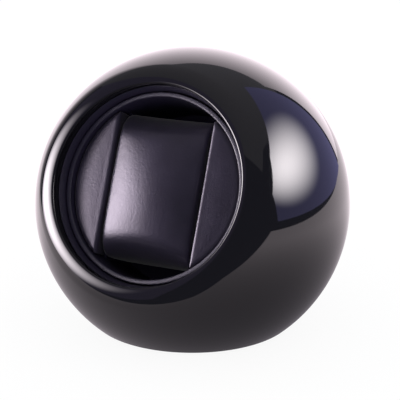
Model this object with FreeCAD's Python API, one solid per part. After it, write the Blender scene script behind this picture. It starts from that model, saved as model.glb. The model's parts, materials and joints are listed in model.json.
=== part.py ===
"""Ball-shaped watch winder: a gloss shell with a tilted mouth, a turning drum that holds a
watch pillow between two padded cheeks, a geared motor behind it and controls at the back.

Millimetres. +Z is up, the mouth faces -Y and the origin is on the table, under the middle
of the object's box. The drum, its housing and its drive are drawn in the drum's own frame,
whose origin is the ball's centre, with +Z out of the mouth and +Y up the slot, and then
tilted into place. The controls are drawn about the ball's centre with the axes of the object.
"""
import FreeCAD, Part
import math
import os

Vector = FreeCAD.Vector

# ---------------------------------------------------------------- driving dimensions
BALL_R = 82.5            # outside radius of the ball
WALL = 3.0               # moulded wall of the ball
CENTRE_H = 64.0          # ball's centre above the table
TILT = 24.0              # mouth's axis above the horizontal, degrees
MOUTH_R = 50.0           # clear radius inside the lip
LIP_R = 13.2             # broad rounding from the ball to the top of the lip
LIP_EDGE = 1.0           # small rounding from the lip into the mouth
LIP_BACK_Z = 56.0        # inside face behind the lip
SEAT_Z = 54.36           # step that the drum housing rests against
CUT_H = 2.0              # flat underside of the shell above the table

COLLAR_R = 52.0          # seat for the drum housing behind the lip
COLLAR_WALL = 2.2
COLLAR_DEPTH = 12.0

DRUM_RIM_Z = 50.8        # drum's front edge, from the ball's centre along the axis
DRUM_RIM_R = 47.8
DRUM_R = 47.0
DRUM_BORE_R = 45.4
DRUM_FLOOR_Z = 6.0       # upper face of the drum's floor
DRUM_FLOOR = 2.5

HOUSING_R = 51.7
HOUSING_BORE_R = 48.5
HOUSING_BACK_Z = -7.0    # upper face of the housing's back plate
HOUSING_BACK = 3.0

SLOT_W = 50.0            # between the cheeks
CHEEK_R = 45.2
CHEEK_FRONT_Z = 50.2
CHEEK_PAD_Z = 38.0       # where the pad meets its former
PILLOW = (46.0, 74.0)    # width across the slot, length along it
PILLOW_BACK_Z = 8.0
PILLOW_FRONT_Z = 55.0
CORE = (27.0, 54.0)
CORE_BACK_Z = 13.0
CORE_FRONT_Z = 44.0

SHAFT_R = 3.0
BUSH_R = 6.0
RUNNING_GAP = 0.05
GEAR_MODULE = 1.0
GEAR_TEETH = 48
PINION_TEETH = 16
GEAR_Z = -21.0           # lower face of the gear
GEAR_WIDTH = 6.0
BACKLASH = 0.16          # taken off each tooth's thickness
CENTRE_EXTRA = 0.10      # added to the gears' centre distance

BRACKET_Z = -25.0        # face of the motor bracket nearest the drum
BRACKET = 2.0
DAMPER = 1.5
POST_R = 3.2
POSTS = [(-43.0, 17.0), (-43.0, -17.0), (8.0, 31.0), (8.0, -31.0)]
GEARBOX = (12.0, 14.0)   # radius, length
CAN = (10.0, 14.0)
MOTOR_SHAFT_R = 2.0

EAR_R = 60.0             # screws that hold the housing to the shell
EAR_Z = 18.0
EAR = 3.0

REAR_R = 50.0            # round opening at the back
REAR_GAP = 0.15
REAR_FLANGE_Y = 57.0
REAR_FLANGE = 3.0
REAR_FLANGE_BORE = 43.0
COVER_SCREW_R = 46.6

PANEL = (58.0, 36.0)     # control panel, width and height
PANEL_CORNER = 5.0
PANEL_GAP = 0.2          # around the panel in its pocket
PANEL_Y = 70.0           # outer face of the panel, behind the ball's centre
PANEL_T = 2.0
POCKET_WALL = 2.0
BOARD_Y = 57.6
BOARD = (54.0, 31.0, 1.6)

KNOB_X, KNOB_H, KNOB_R = 17.0, 8.5, 7.5
ROCKER_X = -18.0
ROCKER = (9.6, 14.6)     # opening in the rocker's frame
SLIDER_Z = 10.0
SLIDER_TRAVEL = 2.5      # to each side of the middle
SLIDER_HALF = 1.9
INLET_Z = -8.0
LAMP_Z = 1.5

BASE_T = 2.5
BASE_R = 49.3
FOOT_R, FOOT_BORE = 48.7, 40.5
BASE_SCREW_R = 45.6

# ---------------------------------------------------------------- derived places
tilt = math.radians(TILT)
lip_ring = MOUTH_R + LIP_EDGE
LIP_Z = math.sqrt((BALL_R - LIP_R) ** 2 - lip_ring ** 2)
FRONT_REACH = LIP_Z * math.cos(tilt) + lip_ring * math.sin(tilt) + LIP_R
REAR_REACH = math.sqrt(BALL_R ** 2 - (PANEL[1] / 2.0 + PANEL_GAP) ** 2)
CENTRE_Y = (FRONT_REACH - REAR_REACH) / 2.0
CENTRE = Vector(0, CENTRE_Y, CENTRE_H)
TABLE_Z = -CENTRE_H
INNER_R = BALL_R - WALL
GEAR_DISTANCE = GEAR_MODULE * (GEAR_TEETH + PINION_TEETH) / 2.0 + CENTRE_EXTRA

X = Vector(1, 0, 0)
Y = Vector(0, 1, 0)
Z = Vector(0, 0, 1)
TO_OBJECT = FreeCAD.Placement(CENTRE, FreeCAD.Rotation())
FROM_DRUM = FreeCAD.Placement(CENTRE, FreeCAD.Rotation(X, 90.0 - TILT))


# ---------------------------------------------------------------- helpers
def placed(shape, placement):
    """A copy of the shape, carried from its own frame into another."""
    copy = shape.copy()
    copy.Placement = placement.multiply(copy.Placement)
    return copy


def disc(radius, z0, z1, x=0.0, y=0.0):
    """A cylinder along Z, from z0 up to z1."""
    return Part.makeCylinder(radius, z1 - z0, Vector(x, y, z0))


def rod_y(radius, y0, y1, x=0.0, z=0.0):
    """A cylinder along Y, from y0 to y1."""
    return Part.makeCylinder(radius, y1 - y0, Vector(x, y0, z), Y)


def block(x0, x1, y0, y1, z0, z1):
    return Part.makeBox(x1 - x0, y1 - y0, z1 - z0, Vector(x0, y0, z0))


def rounded_block_y(width, height, corner, y0, y1, x=0.0, z=0.0):
    """A block along Y whose four long edges are rounded."""
    box = block(x - width / 2, x + width / 2, y0, y1, z - height / 2, z + height / 2)
    long_edges = [e for e in box.Edges if abs(e.tangentAt(e.FirstParameter).y) > 0.9]
    return box.makeFillet(corner, long_edges)


def spun(points_and_arcs):
    """Turns a closed half outline in the XZ plane about Z.

    Each entry is a pair (x, z), or a triple (through, end) marked by a nested tuple for an arc.
    """
    edges = []
    start = None
    here = None
    for entry in points_and_arcs:
        if isinstance(entry[0], tuple):
            through, end = entry
            a, b, c = [Vector(p[0], 0, p[1]) for p in (here, through, end)]
            edges.append(Part.Arc(a, b, c).toShape())
            here = end
            continue
        if here is None:
            start = entry
        else:
            edges.append(Part.makeLine(Vector(here[0], 0, here[1]), Vector(entry[0], 0, entry[1])))
        here = entry
    if math.dist(here, start) > 1e-6:
        edges.append(Part.makeLine(Vector(here[0], 0, here[1]), Vector(start[0], 0, start[1])))
    face = Part.Face(Part.Wire(edges))
    return face.revolve(Vector(0, 0, 0), Z, 360)


def fused(shapes):
    whole = shapes[0].multiFuse(shapes[1:]) if len(shapes) > 1 else shapes[0]
    return whole.removeSplitter()


def around(count, radius, first=0.0):
    """Points evenly spaced on a circle."""
    turn = 2 * math.pi / count
    start = math.radians(first)
    return [(radius * math.cos(start + i * turn), radius * math.sin(start + i * turn)) for i in range(count)]


def screw(shank_r, length, head_r, head_h):
    """A pan-head screw with a cross recess: head below Z=0, shank up along +Z."""
    head = disc(head_r, -head_h, 0)
    edge = [e for e in head.Edges if abs(e.BoundBox.ZMax + head_h) < 1e-6 and e.BoundBox.XLength > head_r]
    head = head.makeFillet(head_h * 0.45, edge[:1])
    shank = disc(shank_r, 0, length)
    slot = head_r * 0.24
    arm = head_r * 0.62
    depth = head_h * 0.55
    cross = fused([
        block(-arm, arm, -slot / 2, slot / 2, -head_h - 1, -head_h + depth),
        block(-slot / 2, slot / 2, -arm, arm, -head_h - 1, -head_h + depth),
    ])
    return fused([head, shank]).cut(cross)


def put(shape, position, direction=Z):
    """A copy of a shape drawn along +Z, set at a position and pointing another way."""
    return placed(shape, FreeCAD.Placement(position, FreeCAD.Rotation(Z, direction)))


def group(shapes):
    return Part.makeCompound(shapes)


# ---------------------------------------------------------------- shell and covers
def ball(radius):
    return Part.makeSphere(radius)


def shell_blank():
    """The whole ball in the drum's frame: lip, collar and wall in one spun outline."""
    reach = math.asin(lip_ring / (BALL_R - LIP_R))
    outer_start = (BALL_R * math.sin(reach), BALL_R * math.cos(reach))
    half = reach / 2 + math.radians(45)
    lip_mid = (lip_ring + LIP_R * math.sin(reach / 2), LIP_Z + LIP_R * math.cos(reach / 2))
    lip_top = LIP_Z + LIP_R
    edge_z = lip_top - LIP_EDGE
    edge_mid = (lip_ring - LIP_EDGE * math.sqrt(0.5), edge_z + LIP_EDGE * math.sqrt(0.5))
    collar_out = COLLAR_R + COLLAR_WALL
    collar_back = SEAT_Z - COLLAR_DEPTH
    inner_start = (math.sqrt(INNER_R ** 2 - LIP_BACK_Z ** 2), LIP_BACK_Z)
    outer_mid = (BALL_R * math.sin(half + 0.9), BALL_R * math.cos(half + 0.9))
    inner_mid = (INNER_R * math.sin(half + 0.9), INNER_R * math.cos(half + 0.9))
    return spun([
        (0.0, -BALL_R),
        (outer_mid, outer_start),
        (lip_mid, (lip_ring, lip_top)),
        (edge_mid, (MOUTH_R, edge_z)),
        (MOUTH_R, SEAT_Z),
        (COLLAR_R, SEAT_Z),
        (COLLAR_R, collar_back),
        (collar_out, collar_back),
        (collar_out, LIP_BACK_Z),
        inner_start,
        (inner_mid, (0.0, -INNER_R)),
    ])


def main_shell():
    """Ball with a tilted mouth, a flat underside, a round back opening and inside fixings."""
    blank = placed(shell_blank(), FreeCAD.Placement(Vector(0, 0, 0), FreeCAD.Rotation(X, 90.0 - TILT)))
    body = blank.cut(block(-100, 100, -100, 100, TABLE_Z - 40, TABLE_Z + CUT_H))
    body = body.cut(rod_y(REAR_R, 0, 120))
    inside = ball(INNER_R + 0.8)

    base_z = TABLE_Z + CUT_H + BASE_T
    base_flange = disc(56, base_z, base_z + 3.0).cut(disc(41.5, base_z - 1, base_z + 4)).common(inside)
    rear_flange = rod_y(58, REAR_FLANGE_Y, REAR_FLANGE_Y + REAR_FLANGE)
    rear_flange = rear_flange.cut(rod_y(REAR_FLANGE_BORE, REAR_FLANGE_Y - 1, REAR_FLANGE_Y + 5)).common(inside)

    to_ball = FreeCAD.Placement(Vector(0, 0, 0), FreeCAD.Rotation(X, 90.0 - TILT))
    posts = []
    holes = []
    for x, y in around(4, EAR_R, 45):
        posts.append(placed(disc(3.5, EAR_Z + EAR, 60, x, y).common(inside), to_ball))
        holes.append(placed(disc(1.15, EAR_Z, EAR_Z + 16, x, y), to_ball))
    body = fused([body, base_flange, rear_flange] + posts)
    for x, y in around(4, BASE_SCREW_R, 45):
        holes.append(disc(1.15, base_z - 1, base_z + 4, x, y))
    for x, z in around(4, COVER_SCREW_R, 45):
        holes.append(rod_y(1.15, REAR_FLANGE_Y - 1, REAR_FLANGE_Y + REAR_FLANGE + 1, x, z))
    return placed(body.cut(group(holes)), TO_OBJECT)


def rear_cover():
    """Spherical cap that closes the back, with a square pocket for the control panel."""
    cap = ball(BALL_R).cut(ball(INNER_R)).common(rod_y(REAR_R - REAR_GAP, 20, 120))
    w, h = PANEL
    w, h = w + 2 * PANEL_GAP, h + 2 * PANEL_GAP
    outside = rounded_block_y(w + 2 * POCKET_WALL, h + 2 * POCKET_WALL, PANEL_CORNER + POCKET_WALL,
                              PANEL_Y - PANEL_T - 1.5, 100).common(ball(BALL_R - 0.01))
    ledge = rounded_block_y(w - 3.4, h - 3.4, PANEL_CORNER - 1.5, PANEL_Y - PANEL_T - 3, 100)
    pocket = rounded_block_y(w, h, PANEL_CORNER, PANEL_Y - PANEL_T, 100)
    bosses = []
    bores = []
    for x, z in around(4, COVER_SCREW_R, 45):
        foot_y = REAR_FLANGE_Y + REAR_FLANGE
        bosses.append(rod_y(3.1, foot_y, 75, x, z).common(ball(BALL_R - 0.5)))
        bores.append(rod_y(1.35, foot_y - 1, 90, x, z))
        bores.append(rod_y(2.6, foot_y + 4.2, 90, x, z))
    cover = fused([cap, outside] + bosses).cut(group([pocket, ledge] + bores))
    return placed(cover, TO_OBJECT)


def cover_screws():
    one = screw(1.15, 6.6, 2.3, 1.5)
    head_y = REAR_FLANGE_Y + REAR_FLANGE + 4.2
    return placed(group([put(one, Vector(x, head_y, z), Vector(0, -1, 0))
                         for x, z in around(4, COVER_SCREW_R, 45)]), TO_OBJECT)


def base_plate():
    z0 = TABLE_Z + CUT_H
    plate = disc(BASE_R, z0, z0 + BASE_T)
    vents = []
    for row in range(-2, 3):
        slot = block(-14, 14, row * 6 - 1, row * 6 + 1, z0 - 1, z0 + BASE_T + 1)
        vents.append(slot)
    holes = [disc(1.35, z0 - 1, z0 + 4, x, y) for x, y in around(4, BASE_SCREW_R, 45)]
    return placed(plate.cut(group(vents + holes)), TO_OBJECT)


def base_screws():
    """Pan heads under the base, sunk in the foot ring's pockets."""
    one = screw(1.15, 5.2, 2.2, 1.1)
    z0 = TABLE_Z + CUT_H
    return placed(group([put(one, Vector(x, y, z0)) for x, y in around(4, BASE_SCREW_R, 45)]), TO_OBJECT)


def foot_ring():
    """Soft rubber ring that the winder stands on, with pockets over the base screws."""
    ring = disc(FOOT_R, TABLE_Z, TABLE_Z + CUT_H).cut(disc(FOOT_BORE, TABLE_Z - 1, TABLE_Z + CUT_H + 1))
    lower = [e for e in ring.Edges if abs(e.BoundBox.ZMax - TABLE_Z) < 1e-6 and e.BoundBox.XLength > 10]
    ring = ring.makeFillet(0.5, lower)
    pockets = [disc(2.7, TABLE_Z - 1, TABLE_Z + CUT_H + 1, x, y) for x, y in around(4, BASE_SCREW_R, 45)]
    return placed(ring.cut(group(pockets)), TO_OBJECT)


# ---------------------------------------------------------------- housing and bearing
def drum_housing():
    """Satin bucket behind the lip: tapered mouth, straight wall, back plate, ears and posts."""
    front = SEAT_Z - 0.1
    taper_z = DRUM_RIM_Z + 0.2
    back = HOUSING_BACK_Z - HOUSING_BACK
    wall = spun([
        (0.0, back),
        (HOUSING_R, back),
        (HOUSING_R, front),
        (MOUTH_R - 0.1, front),
        (HOUSING_BORE_R, taper_z),
        (HOUSING_BORE_R, HOUSING_BACK_Z),
        (0.0, HOUSING_BACK_Z),
    ])
    pieces = [wall, disc(12, back - 3.0, back)]
    cuts = [disc(BUSH_R, back - 4, HOUSING_BACK_Z + 1)]
    for x, y in around(4, EAR_R, 45):
        ear = disc(5.0, EAR_Z, EAR_Z + EAR, x, y)
        angle = math.degrees(math.atan2(y, x))
        web = block(HOUSING_R - 1, EAR_R, -5, 5, EAR_Z, EAR_Z + EAR)
        web.rotate(Vector(0, 0, 0), Z, angle)
        pieces += [ear, web]
        cuts.append(disc(1.35, EAR_Z - 1, EAR_Z + EAR + 1, x, y))
    for x, y in POSTS:
        pieces.append(disc(POST_R, BRACKET_Z + DAMPER, back, x, y))
        cuts.append(disc(1.0, BRACKET_Z, back - 2, x, y))
    return placed(fused(pieces).cut(group(cuts)), FROM_DRUM)


def housing_screws():
    one = screw(1.15, 14.0, 2.5, 1.8)
    return placed(group([put(one, Vector(x, y, EAR_Z)) for x, y in around(4, EAR_R, 45)]), FROM_DRUM)


def shaft_bush():
    back = HOUSING_BACK_Z - HOUSING_BACK - 3.0
    body = disc(BUSH_R, back, HOUSING_BACK_Z).fuse(disc(8.0, back - 1.0, back))
    return placed(body.removeSplitter().cut(disc(SHAFT_R + RUNNING_GAP, back - 2, 0)), FROM_DRUM)


def thrust_washer():
    washer = disc(9.0, HOUSING_BACK_Z, HOUSING_BACK_Z + 0.7)
    return placed(washer.cut(disc(SHAFT_R + 0.3, -10, 0)), FROM_DRUM)


# ---------------------------------------------------------------- drum
def drum_cup():
    """Turning cup with a slightly proud, rounded rim."""
    floor_low = DRUM_FLOOR_Z - DRUM_FLOOR
    cup = spun([
        (0.0, floor_low),
        (DRUM_R, floor_low),
        (DRUM_R, DRUM_RIM_Z - 5.0),
        (DRUM_RIM_R, DRUM_RIM_Z - 4.0),
        (DRUM_RIM_R, DRUM_RIM_Z - 1.1),
        ((DRUM_RIM_R - 0.32, DRUM_RIM_Z - 0.32), (DRUM_RIM_R - 1.1, DRUM_RIM_Z)),
        (DRUM_BORE_R + 0.8, DRUM_RIM_Z),
        ((DRUM_BORE_R + 0.23, DRUM_RIM_Z - 0.23), (DRUM_BORE_R, DRUM_RIM_Z - 0.8)),
        (DRUM_BORE_R, DRUM_FLOOR_Z),
        (0.0, DRUM_FLOOR_Z),
    ])
    holes = [disc(1.35, 0, 10, x, y) for x, y in around(4, 10.0, 45)]
    return placed(cup.cut(group(holes)), FROM_DRUM)


def drum_hub():
    """Flanged hub under the drum's floor that carries the shaft."""
    top = DRUM_FLOOR_Z - DRUM_FLOOR
    hub = fused([disc(14.0, top - 3.0, top), disc(7.0, HOUSING_BACK_Z + 1.0, top)])
    holes = [disc(1.0, top - 4, top + 1, x, y) for x, y in around(4, 10.0, 45)]
    return placed(hub.cut(group(holes + [disc(SHAFT_R, -20, 20)])), FROM_DRUM)


def hub_screws():
    one = screw(1.0, 5.0, 2.1, 1.2)
    return placed(group([put(one, Vector(x, y, DRUM_FLOOR_Z), Vector(0, 0, -1))
                         for x, y in around(4, 10.0, 45)]), FROM_DRUM)


def drum_shaft():
    top = DRUM_FLOOR_Z - DRUM_FLOOR
    groove = disc(SHAFT_R + 1, GEAR_Z - 1.2, GEAR_Z - 0.2).cut(disc(SHAFT_R - 0.5, GEAR_Z - 2, GEAR_Z))
    shaft = disc(SHAFT_R, GEAR_Z - 2.6, top).cut(groove)
    return placed(shaft, FROM_DRUM)


def retaining_clip():
    """Spring E-clip in the shaft's groove."""
    ring = disc(5.4, GEAR_Z - 1.1, GEAR_Z - 0.3).cut(disc(SHAFT_R - 0.5, GEAR_Z - 2, GEAR_Z))
    return placed(ring.cut(block(-1.6, 1.6, 0, 8, GEAR_Z - 2, GEAR_Z)), FROM_DRUM)


def gear_outline(teeth, module, backlash):
    """Closed outline of an involute spur gear: sampled flanks, arcs at the tips and roots."""
    pitch_r = module * teeth / 2.0
    base_r = pitch_r * math.cos(math.radians(20))
    tip_r = pitch_r + module * 0.95
    root_r = pitch_r - module * 1.25
    half_tooth = math.pi / (2 * teeth) - backlash / (2 * pitch_r)
    involute = math.tan(math.radians(20)) - math.radians(20)
    start_r = max(base_r, root_r)

    def flank_angle(radius):
        pressure = math.acos(base_r / radius)
        return half_tooth + involute - (math.tan(pressure) - pressure)

    def at(radius, angle):
        return Vector(radius * math.cos(angle), radius * math.sin(angle), 0)

    radii = [start_r + (tip_r - start_r) * k / 4.0 for k in range(5)]
    pitch = 2 * math.pi / teeth
    edges = []
    for n in range(teeth):
        mid = n * pitch
        rise = [at(root_r, mid - flank_angle(start_r))] + [at(r, mid - flank_angle(r)) for r in radii]
        fall = [at(r, mid + flank_angle(r)) for r in reversed(radii)] + [at(root_r, mid + flank_angle(start_r))]
        for p, q in list(zip(rise, rise[1:])) + list(zip(fall, fall[1:])):
            if p.distanceToPoint(q) > 1e-5:
                edges.append(Part.makeLine(p, q))
        edges.append(Part.Arc(rise[-1], at(tip_r, mid), fall[0]).toShape())
        next_root = at(root_r, mid + pitch - flank_angle(start_r))
        edges.append(Part.Arc(fall[-1], at(root_r, mid + pitch / 2), next_root).toShape())
    return Part.Wire(Part.__sortEdges__(edges))


def spur_gear(teeth, z0, z1):
    face = Part.Face(gear_outline(teeth, GEAR_MODULE, BACKLASH))
    gear = face.extrude(Vector(0, 0, z1 - z0))
    gear.translate(Vector(0, 0, z0))
    return gear


def drum_gear():
    """Spur gear on the drum's shaft, with a gap facing the pinion and round lightening holes."""
    gear = spur_gear(GEAR_TEETH, GEAR_Z, GEAR_Z + GEAR_WIDTH)
    gear.rotate(Vector(0, 0, 0), Z, 180.0 / GEAR_TEETH)
    holes = [disc(4.2, GEAR_Z - 1, GEAR_Z + GEAR_WIDTH + 1, x, y) for x, y in around(6, 14.0)]
    return placed(gear.cut(group(holes + [disc(SHAFT_R, -40, 0)])), FROM_DRUM)


def half_moon(side, z0, z1, radius, inner_x):
    """A segment of a cylinder beside the slot; side is -1 for left and 1 for right."""
    low, high = (inner_x, radius + 5) if side > 0 else (-radius - 5, -inner_x)
    return disc(radius, z0, z1).common(block(low, high, -radius, radius, z0, z1))


def cheek_former(side):
    """Stiff hollow block that backs the cheek pad."""
    outer = half_moon(side, DRUM_FLOOR_Z, CHEEK_PAD_Z, CHEEK_R, SLOT_W / 2)
    hollow = half_moon(side, DRUM_FLOOR_Z - 1, CHEEK_PAD_Z - 2.0, CHEEK_R - 2.0, SLOT_W / 2 + 2.0)
    return placed(outer.cut(hollow), FROM_DRUM)


def cheek_pad(side):
    """Padded half-moon front of the cheek."""
    pad = half_moon(side, CHEEK_PAD_Z, CHEEK_FRONT_Z, CHEEK_R, SLOT_W / 2)
    front = [e for e in pad.Edges if e.BoundBox.ZMin > CHEEK_FRONT_Z - 1e-6]
    return placed(pad.makeFillet(1.6, front), FROM_DRUM)


def slot_pad():
    """Thin lining on the drum's floor between the cheeks."""
    pad = disc(DRUM_BORE_R - 0.2, DRUM_FLOOR_Z, DRUM_FLOOR_Z + 1.5)
    pad = pad.common(block(-SLOT_W / 2 + 0.1, SLOT_W / 2 - 0.1, -60, 60, 0, 20))
    heads = [disc(2.5, 0, 20, x, y) for x, y in around(4, 10.0, 45)]
    return placed(pad.cut(group(heads)), FROM_DRUM)


# ---------------------------------------------------------------- pillow
def rounded_cushion(width, length, z0, z1, end_r, edge_r):
    """A block along the slot with rolled ends and softened long edges."""
    box = block(-width / 2, width / 2, -length / 2, length / 2, z0, z1)
    ends = [e for e in box.Edges if e.BoundBox.XLength > 1 and e.BoundBox.YLength < 1e-6]
    box = box.makeFillet(end_r, ends)
    return box.makeFillet(edge_r, [e for e in box.Edges if e.BoundBox.XLength < 1e-6])


def pillow_pad():
    cushion = rounded_cushion(PILLOW[0], PILLOW[1], PILLOW_BACK_Z, PILLOW_FRONT_Z, 14.0, 2.0)
    cavity = rounded_cushion(CORE[0], CORE[1], CORE_BACK_Z, CORE_FRONT_Z, 8.0, 1.0)
    return placed(cushion.cut(cavity), FROM_DRUM)


def pillow_core():
    core = rounded_cushion(CORE[0], CORE[1], CORE_BACK_Z, CORE_FRONT_Z, 8.0, 1.0)
    return placed(core, FROM_DRUM)


# ---------------------------------------------------------------- drive
def bracket_outline():
    left_x, wide = -50.0, 37.0
    corners = [(left_x, -23.0), (-20.0, -wide), (14.0, -wide), (14.0, wide), (-20.0, wide), (left_x, 23.0)]
    points = [Vector(x, y, 0) for x, y in corners + corners[:1]]
    return Part.Face(Part.makePolygon(points))


def motor_bracket():
    plate = bracket_outline().extrude(Vector(0, 0, BRACKET))
    plate.translate(Vector(0, 0, BRACKET_Z - BRACKET))
    plate = plate.common(disc(50.0, BRACKET_Z - BRACKET, BRACKET_Z))
    cuts = [disc(1.4, -40, 0, x, y) for x, y in POSTS]
    cuts += [disc(4.6, -40, 0, -GEAR_DISTANCE, 0), disc(16.0, -40, 0, 4.0, 0)]
    cuts += [disc(1.4, -40, 0, -GEAR_DISTANCE, y) for y in (-8.5, 8.5)]
    return placed(plate.cut(group(cuts)), FROM_DRUM)


def bracket_dampers():
    rings = [disc(4.0, BRACKET_Z, BRACKET_Z + DAMPER, x, y).cut(disc(1.4, -40, 0, x, y)) for x, y in POSTS]
    return placed(group(rings), FROM_DRUM)


def bracket_screws():
    one = screw(1.0, 9.0, 2.6, 1.6)
    return placed(group([put(one, Vector(x, y, BRACKET_Z - BRACKET)) for x, y in POSTS]), FROM_DRUM)


def gearbox_case():
    radius, length = GEARBOX
    top = BRACKET_Z - BRACKET
    case = disc(radius, top - length, top)
    case = case.fuse(disc(4.4, top, top + 2.0)).removeSplitter()
    cuts = [disc(MOTOR_SHAFT_R + RUNNING_GAP, top - 6.0, top + 3.0)]
    cuts += [disc(1.0, top - 5.0, top + 1.0, 0, y) for y in (-8.5, 8.5)]
    case = case.cut(group(cuts))
    case.translate(Vector(-GEAR_DISTANCE, 0, 0))
    return placed(case, FROM_DRUM)


def motor_can():
    radius, length = CAN
    top = BRACKET_Z - BRACKET - GEARBOX[1]
    can = disc(radius, top - length, top)
    rear = [e for e in can.Edges if abs(e.BoundBox.ZMax - top + length) < 1e-6 and e.BoundBox.XLength > 5]
    can = can.makeFillet(1.2, rear[:1])
    flats = [block(-20, 20, s * 8.2, s * 20, top - length - 1, top + 1) if s > 0 else
             block(-20, 20, -20, -8.2, top - length - 1, top + 1) for s in (-1, 1)]
    boss = disc(3.0, top - length - 1.5, top - length)
    tags = [block(x - 0.9, x + 0.9, -0.25, 0.25, top - length - 3.5, top - length + 0.2) for x in (-5.5, 5.5)]
    can = fused([can.cut(group(flats)), boss] + tags)
    can.translate(Vector(-GEAR_DISTANCE, 0, 0))
    return placed(can, FROM_DRUM)


def motor_screws():
    one = screw(1.0, 6.0, 2.0, 1.2)
    return placed(group([put(one, Vector(-GEAR_DISTANCE, y, BRACKET_Z), Vector(0, 0, -1))
                         for y in (-8.5, 8.5)]), FROM_DRUM)


def motor_shaft():
    shaft = disc(MOTOR_SHAFT_R, BRACKET_Z - BRACKET - 5.7, GEAR_Z + GEAR_WIDTH + 1.2, -GEAR_DISTANCE, 0)
    return placed(shaft, FROM_DRUM)


def motor_pinion():
    """Small gear with a short hub; one tooth points at the drum gear's gap."""
    gear = spur_gear(PINION_TEETH, GEAR_Z - 0.3, GEAR_Z + GEAR_WIDTH + 0.3)
    gear = gear.cut(disc(MOTOR_SHAFT_R, -40, 0))
    gear.translate(Vector(-GEAR_DISTANCE, 0, 0))
    return placed(gear, FROM_DRUM)


# ---------------------------------------------------------------- controls at the back
def control_panel():
    plate = rounded_block_y(PANEL[0], PANEL[1], PANEL_CORNER - 0.2, PANEL_Y - PANEL_T, PANEL_Y)
    low, high = PANEL_Y - PANEL_T - 1, PANEL_Y + 1
    rocker_w, rocker_h = ROCKER
    cuts = [
        rod_y(3.6, low, high, KNOB_X, 0),
        block(ROCKER_X - rocker_w / 2 - 1.5, ROCKER_X + rocker_w / 2 + 1.5, low, high,
              -rocker_h / 2 - 1.5, rocker_h / 2 + 1.5),
        block(-5.0, 5.0, low, high, SLIDER_Z - 1.8, SLIDER_Z + 1.8),
        rod_y(4.3, low, high, 0, INLET_Z),
        rod_y(1.6, low, high, 0, LAMP_Z),
    ]
    for x in (-1, 1):
        for z in (-1, 1):
            cuts.append(rod_y(1.3, low, high, x * 25.0, z * 14.0))
    lands = [rod_y(2.6, BOARD_Y + BOARD[2], PANEL_Y - PANEL_T, x * 23.5, z * 12.0)
             for x in (-1, 1) for z in (-1, 1)]
    holes = [rod_y(0.9, BOARD_Y, PANEL_Y - PANEL_T - 0.5, x * 23.5, z * 12.0) for x in (-1, 1) for z in (-1, 1)]
    return placed(fused([plate.cut(group(cuts))] + lands).cut(group(holes)), TO_OBJECT)


def panel_screws():
    """Self-tapping screws that hold the board to the panel's standoffs."""
    one = screw(0.9, 5.5, 2.0, 1.2)
    return placed(group([put(one, Vector(x * 23.5, BOARD_Y, z * 12.0), Y)
                         for x in (-1, 1) for z in (-1, 1)]), TO_OBJECT)


def circuit_board():
    w, h, t = BOARD
    board = block(-w / 2, w / 2, BOARD_Y, BOARD_Y + t, -h / 2, h / 2)
    holes = [rod_y(1.1, BOARD_Y - 1, BOARD_Y + t + 1, x * 23.5, z * 12.0) for x in (-1, 1) for z in (-1, 1)]
    return placed(board.cut(group(holes)), TO_OBJECT)


def control_chip():
    chip = block(-4.5, 4.5, BOARD_Y - 1.6, BOARD_Y, -2.0, 2.0)
    legs = [block(x * 2.0 - 0.25, x * 2.0 + 0.25, BOARD_Y - 0.5, BOARD_Y, -3.4, 3.4) for x in (-2, -1, 0, 1, 2)]
    return placed(fused([chip] + legs), TO_OBJECT)


def rotary_switch():
    """Square switch body behind the panel with a bushing that guides the knob's stem."""
    y0 = BOARD_Y + BOARD[2]
    body = block(KNOB_X - 5.5, KNOB_X + 5.5, y0, PANEL_Y - PANEL_T - 0.4, -6.5, 6.5)
    neck = rod_y(3.4, y0, PANEL_Y + 1.0, KNOB_X, 0)
    bore = rod_y(2.0 + RUNNING_GAP, y0 + 2.0, PANEL_Y + 2, KNOB_X, 0)
    return placed(fused([body, neck]).cut(bore), TO_OBJECT)


def mode_knob():
    """Round knob with flutes, a pointer groove and a stem."""
    y0 = PANEL_Y + 1.4
    top = PANEL_Y + KNOB_H
    knob = rod_y(KNOB_R, y0, top, KNOB_X, 0)
    rim = [e for e in knob.Edges if e.BoundBox.YMin > top - 1e-6]
    knob = knob.makeFillet(1.0, rim[:1])
    flutes = []
    for x, z in around(18, KNOB_R + 0.45):
        flutes.append(rod_y(0.8, y0 + 1.5, top + 1, KNOB_X + x, z))
    flutes.append(block(KNOB_X - 0.5, KNOB_X + 0.5, top - 0.6, top + 1, 1.5, KNOB_R + 1))
    stem = rod_y(2.0, BOARD_Y + BOARD[2] + 2.3, y0 + 0.5, KNOB_X, 0)
    return placed(fused([knob.cut(group(flutes)), stem]), TO_OBJECT)


def rocker_frame():
    """Snap-in frame of the power switch."""
    w, h = ROCKER
    y0 = PANEL_Y - PANEL_T - 6.0
    flange = block(ROCKER_X - w / 2 - 2.4, ROCKER_X + w / 2 + 2.4, PANEL_Y, PANEL_Y + 1.2, -h / 2 - 2.4, h / 2 + 2.4)
    body = block(ROCKER_X - w / 2 - 1.2, ROCKER_X + w / 2 + 1.2, y0, PANEL_Y + 0.6, -h / 2 - 1.2, h / 2 + 1.2)
    hole = block(ROCKER_X - w / 2, ROCKER_X + w / 2, y0 + 1.2, PANEL_Y + 3, -h / 2, h / 2)
    frame = fused([flange, body]).cut(hole)
    pin = Part.makeCylinder(0.9, w + 1.6, Vector(ROCKER_X - w / 2 - 0.8, PANEL_Y - 0.6, 0), X)
    return placed(fused([frame, pin]), TO_OBJECT)


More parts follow.
